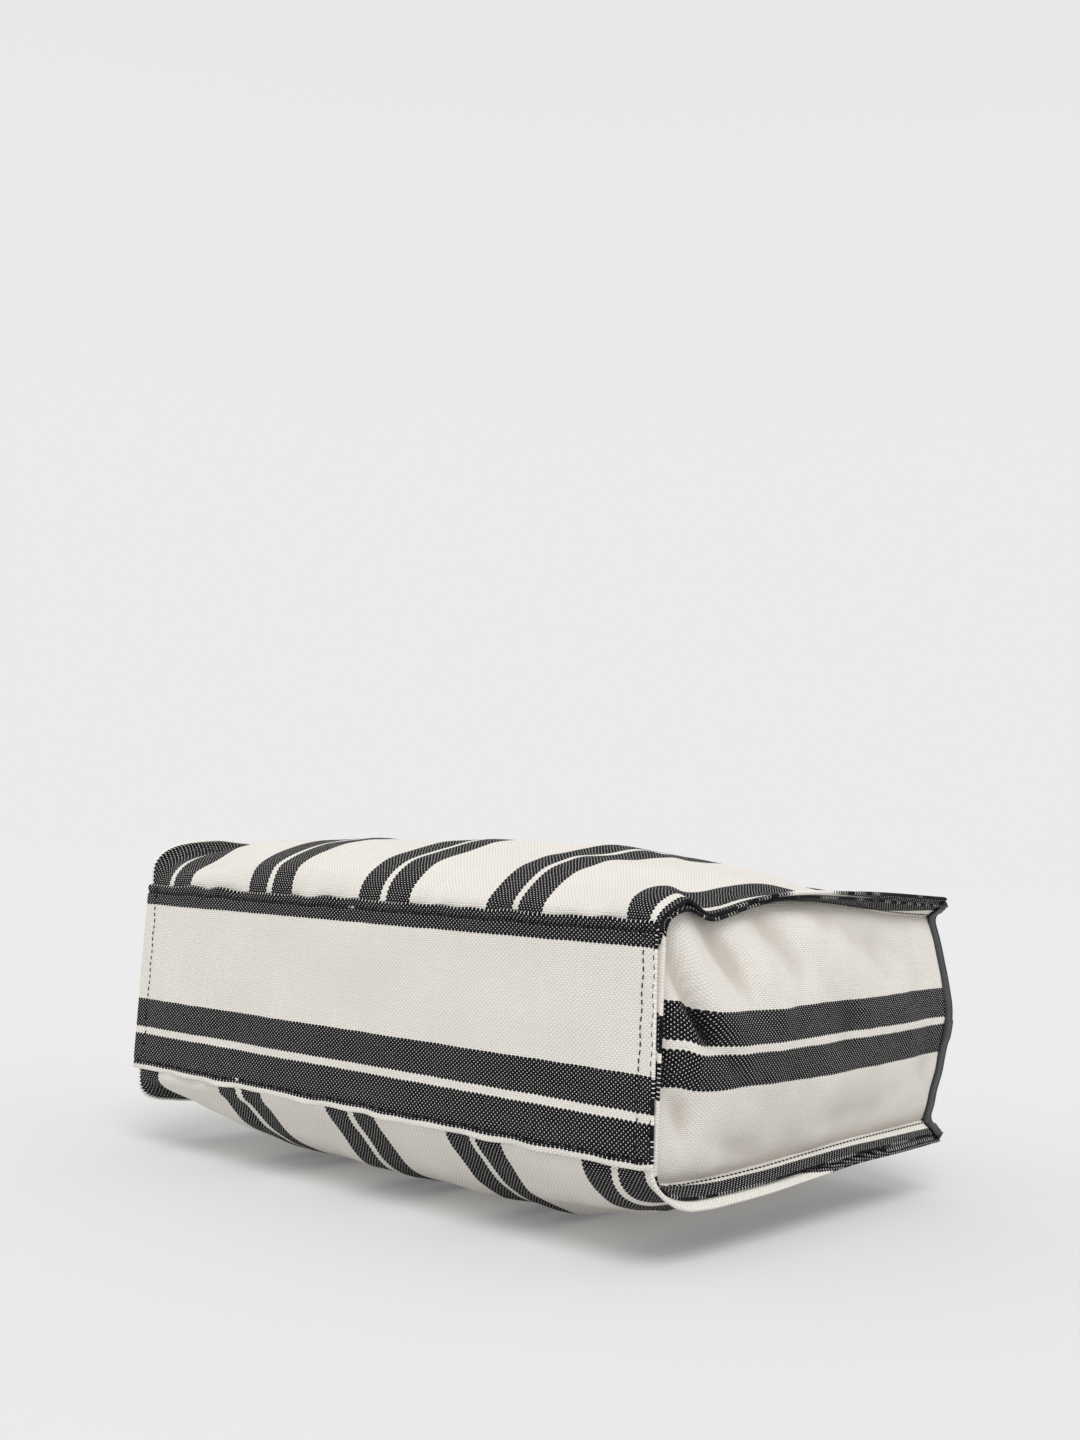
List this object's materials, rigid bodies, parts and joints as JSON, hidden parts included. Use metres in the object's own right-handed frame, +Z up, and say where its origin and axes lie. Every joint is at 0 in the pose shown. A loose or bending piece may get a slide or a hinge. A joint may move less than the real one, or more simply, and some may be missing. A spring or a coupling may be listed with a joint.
{
  "type": "canvas tote bag",
  "caption": "Striped canvas tote bag lying on its back panel, with flanged gussets, a leather-bound open mouth and two rolled leather handles that swing.",
  "frame": {"origin": "middle of the bag's width and height, on the flat underside of the back panel, which lies on the floor", "axes": "+X along the bag's width, +Y from the base to the mouth, +Z up from the back panel to the front panel"},
  "size_m": [0.4282, 0.4549, 0.207],
  "materials": {
    "striped_canvas": "heavy two-colour canvas, ecru with paired black stripes",
    "plain_canvas": "plain ecru canvas",
    "leather_tape": "smooth black leather tape, satin",
    "strap_leather": "black vegetable-tanned leather, satin",
    "cotton_rope": "laid cotton rope",
    "base_board": "black polypropylene board, fine grain"
  },
  "bodies": {
    "bag": {"front_panel": "striped_canvas", "back_panel": "striped_canvas", "base_panel": "striped_canvas", "left_gusset": "striped_canvas", "right_gusset": "striped_canvas", "mouth_binding": "leather_tape", "base_insert": "base_board", "inner_pocket": "plain_canvas", "front_left_tab": "strap_leather", "front_right_tab": "strap_leather", "back_left_tab": "strap_leather", "back_right_tab": "strap_leather", "front_left_patch": "strap_leather", "front_right_patch": "strap_leather", "back_left_patch": "strap_leather", "back_right_patch": "strap_leather"},
    "front_handle": {"front_handle": "strap_leather", "front_handle_core": "cotton_rope"},
    "back_handle": {"back_handle": "strap_leather", "back_handle_core": "cotton_rope"}
  },
  "joints": [
    {"name": "front_handle_swing", "type": "hinge", "parent": "bag", "child": "front_handle", "pos_m": [0, 0.168, 0.1904], "axis": [1, 0, 0], "range_deg": [-45, 175]},
    {"name": "back_handle_swing", "type": "hinge", "parent": "bag", "child": "back_handle", "pos_m": [0, 0.168, 0.0256], "axis": [1, 0, 0], "range_deg": [0, 78]}
  ]
}
